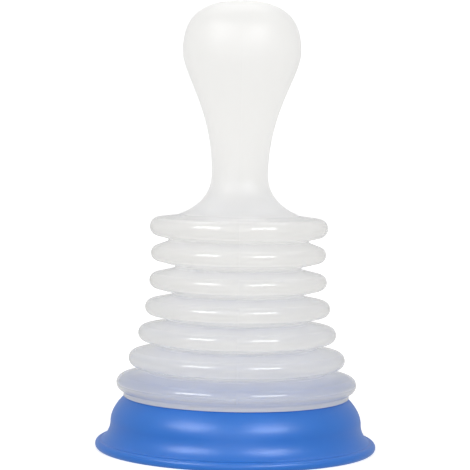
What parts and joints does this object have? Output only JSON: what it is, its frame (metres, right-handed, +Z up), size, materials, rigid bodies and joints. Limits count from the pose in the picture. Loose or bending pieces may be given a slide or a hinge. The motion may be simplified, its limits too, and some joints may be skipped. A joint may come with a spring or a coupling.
{
  "type": "sink plunger",
  "caption": "Hand-held bellows sink plunger: hollow milky bulb handle and bellows on a soft blue sealing cup.",
  "frame": {"origin": "centre of the rim's flat sealing face", "axes": "+Z up along the turning axis, through the handle; -Y towards the viewer"},
  "size_m": [0.1456, 0.1456, 0.2316],
  "materials": {
    "milky_body": "satin, milky translucent blow-moulded polyethylene",
    "soft_cup": "satin, soft moulded elastomer"
  },
  "bodies": {
    "cup_edge": {"cup_rim": "soft_cup", "cup_skirt": "soft_cup"},
    "socket": {"socket_ring": "milky_body", "cup_collar": "soft_cup", "fold_web_6": "milky_body"},
    "fold_6": {"crest_ring_6": "milky_body", "fold_web_5": "milky_body"},
    "fold_5": {"crest_ring_5": "milky_body", "fold_web_4": "milky_body"},
    "fold_4": {"crest_ring_4": "milky_body", "fold_web_3": "milky_body"},
    "fold_3": {"crest_ring_3": "milky_body", "fold_web_2": "milky_body"},
    "fold_2": {"crest_ring_2": "milky_body", "fold_web_1": "milky_body"},
    "grip": {"handle": "milky_body"}
  },
  "joints": [
    {"name": "cup_flex", "type": "slide", "parent": "cup_edge", "child": "socket", "axis": [0, 0, 1], "range_m": [-0.005, 0.003], "stiffness_N_per_m": 9000, "deforming": ["cup_skirt"]},
    {"name": "fold_6_squeeze", "type": "slide", "parent": "socket", "child": "fold_6", "axis": [0, 0, 1], "range_m": [-0.0065, 0.002], "stiffness_N_per_m": 6000, "deforming": ["fold_web_6"]},
    {"name": "fold_5_squeeze", "type": "slide", "parent": "fold_6", "child": "fold_5", "axis": [0, 0, 1], "range_m": [-0.0065, 0.002], "stiffness_N_per_m": 6000, "deforming": ["fold_web_5"]},
    {"name": "fold_4_squeeze", "type": "slide", "parent": "fold_5", "child": "fold_4", "axis": [0, 0, 1], "range_m": [-0.0065, 0.002], "stiffness_N_per_m": 6000, "deforming": ["fold_web_4"]},
    {"name": "fold_3_squeeze", "type": "slide", "parent": "fold_4", "child": "fold_3", "axis": [0, 0, 1], "range_m": [-0.0065, 0.002], "stiffness_N_per_m": 6000, "deforming": ["fold_web_3"]},
    {"name": "fold_2_squeeze", "type": "slide", "parent": "fold_3", "child": "fold_2", "axis": [0, 0, 1], "range_m": [-0.0065, 0.002], "stiffness_N_per_m": 6000, "deforming": ["fold_web_2"]},
    {"name": "fold_1_squeeze", "type": "slide", "parent": "fold_2", "child": "grip", "axis": [0, 0, 1], "range_m": [-0.0065, 0.002], "stiffness_N_per_m": 6000, "deforming": ["fold_web_1"]}
  ],
  "couplings": [
    {"joint": "fold_5_squeeze", "follows": "fold_6_squeeze", "ratio": 1},
    {"joint": "fold_4_squeeze", "follows": "fold_6_squeeze", "ratio": 1},
    {"joint": "fold_3_squeeze", "follows": "fold_6_squeeze", "ratio": 1},
    {"joint": "fold_2_squeeze", "follows": "fold_6_squeeze", "ratio": 1},
    {"joint": "fold_1_squeeze", "follows": "fold_6_squeeze", "ratio": 1}
  ]
}
